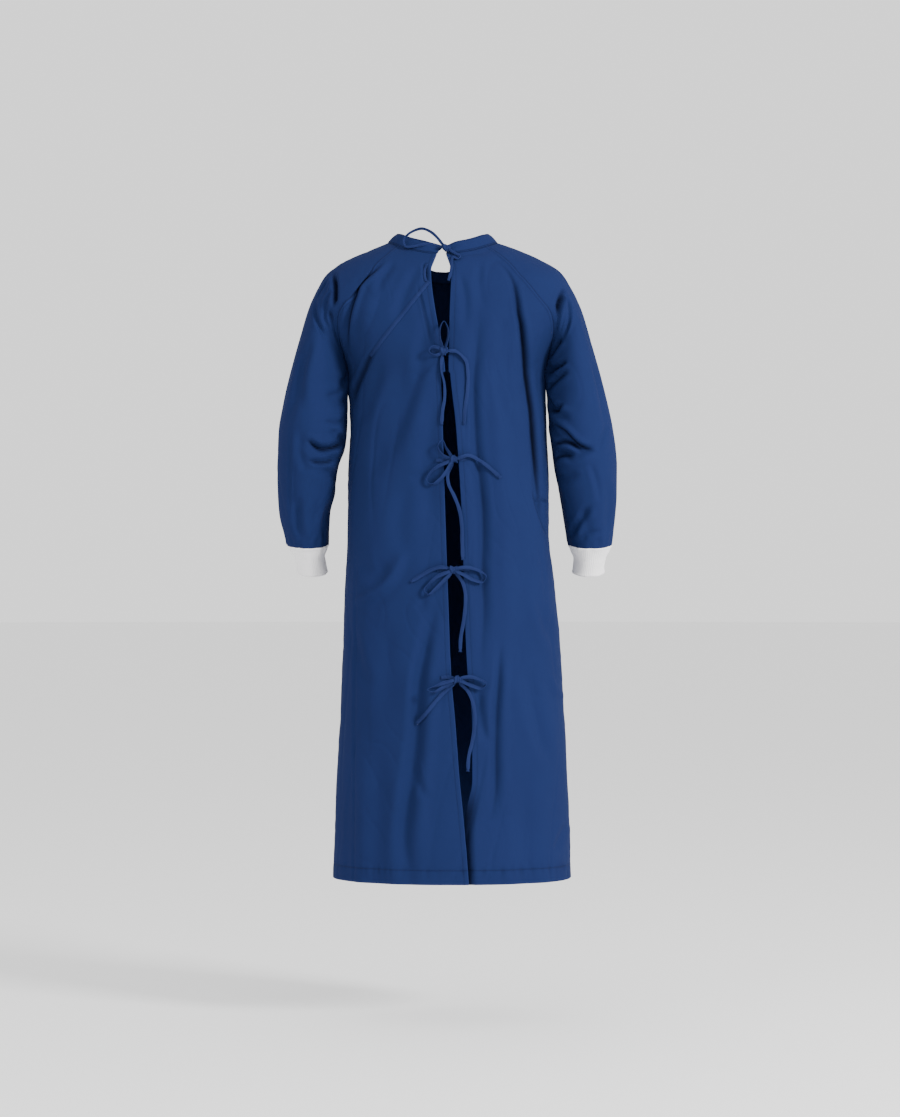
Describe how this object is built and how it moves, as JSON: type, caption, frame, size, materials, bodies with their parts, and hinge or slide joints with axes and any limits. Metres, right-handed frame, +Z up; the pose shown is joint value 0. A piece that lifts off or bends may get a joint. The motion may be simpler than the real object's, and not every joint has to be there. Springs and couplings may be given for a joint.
{
  "type": "surgical gown",
  "caption": "Reusable long-sleeved surgical gown, open down the back and tied with cloth tapes, worn and hollow, with rib-knit cuffs.",
  "frame": {"origin": "the base of the neck between the shoulders, where the wearer carries the gown", "axes": "+Z up, -Y out of the gown's back, +X towards the wearer's right hand"},
  "size_m": [0.6799, 0.3431, 1.297],
  "materials": {
    "navy_cloth": "smooth plain-weave poly-cotton with a faint satin sheen",
    "navy_tape": "folded and edge-stitched tape of the same cloth",
    "white_rib": "soft white rib knit"
  },
  "bodies": {
    "root": {"back_left_panel": "navy_cloth", "back_right_panel": "navy_cloth", "cuff_left": "white_rib", "cuff_right": "white_rib", "front_panel": "navy_cloth", "neckband": "navy_cloth", "sleeve_left": "navy_cloth", "sleeve_right": "navy_cloth", "stay_tape_left": "navy_tape", "tie_1_knot": "navy_tape", "tie_1_loop_left": "navy_tape", "tie_1_tail_right": "navy_tape", "tie_2_anchor_left": "navy_tape", "tie_2_anchor_right": "navy_tape", "tie_2_knot": "navy_tape", "tie_2_loop_left": "navy_tape", "tie_2_loop_up": "navy_tape", "tie_2_tail_down": "navy_tape", "tie_2_tail_right": "navy_tape", "tie_3_anchor_left": "navy_tape", "tie_3_anchor_right": "navy_tape", "tie_3_knot": "navy_tape", "tie_3_loop_left": "navy_tape", "tie_3_loop_up": "navy_tape", "tie_3_tail_down": "navy_tape", "tie_3_tail_right": "navy_tape", "tie_4_anchor_left": "navy_tape", "tie_4_anchor_right": "navy_tape", "tie_4_knot": "navy_tape", "tie_4_loop_left": "navy_tape", "tie_4_loop_right": "navy_tape", "tie_4_tail_down": "navy_tape", "tie_4_tail_left": "navy_tape", "tie_5_anchor_left": "navy_tape", "tie_5_anchor_right": "navy_tape", "tie_5_knot": "navy_tape", "tie_5_loop_left": "navy_tape", "tie_5_loop_right": "navy_tape", "tie_5_tail_down": "navy_tape", "tie_5_tail_left": "navy_tape"}
  },
  "joints": []
}
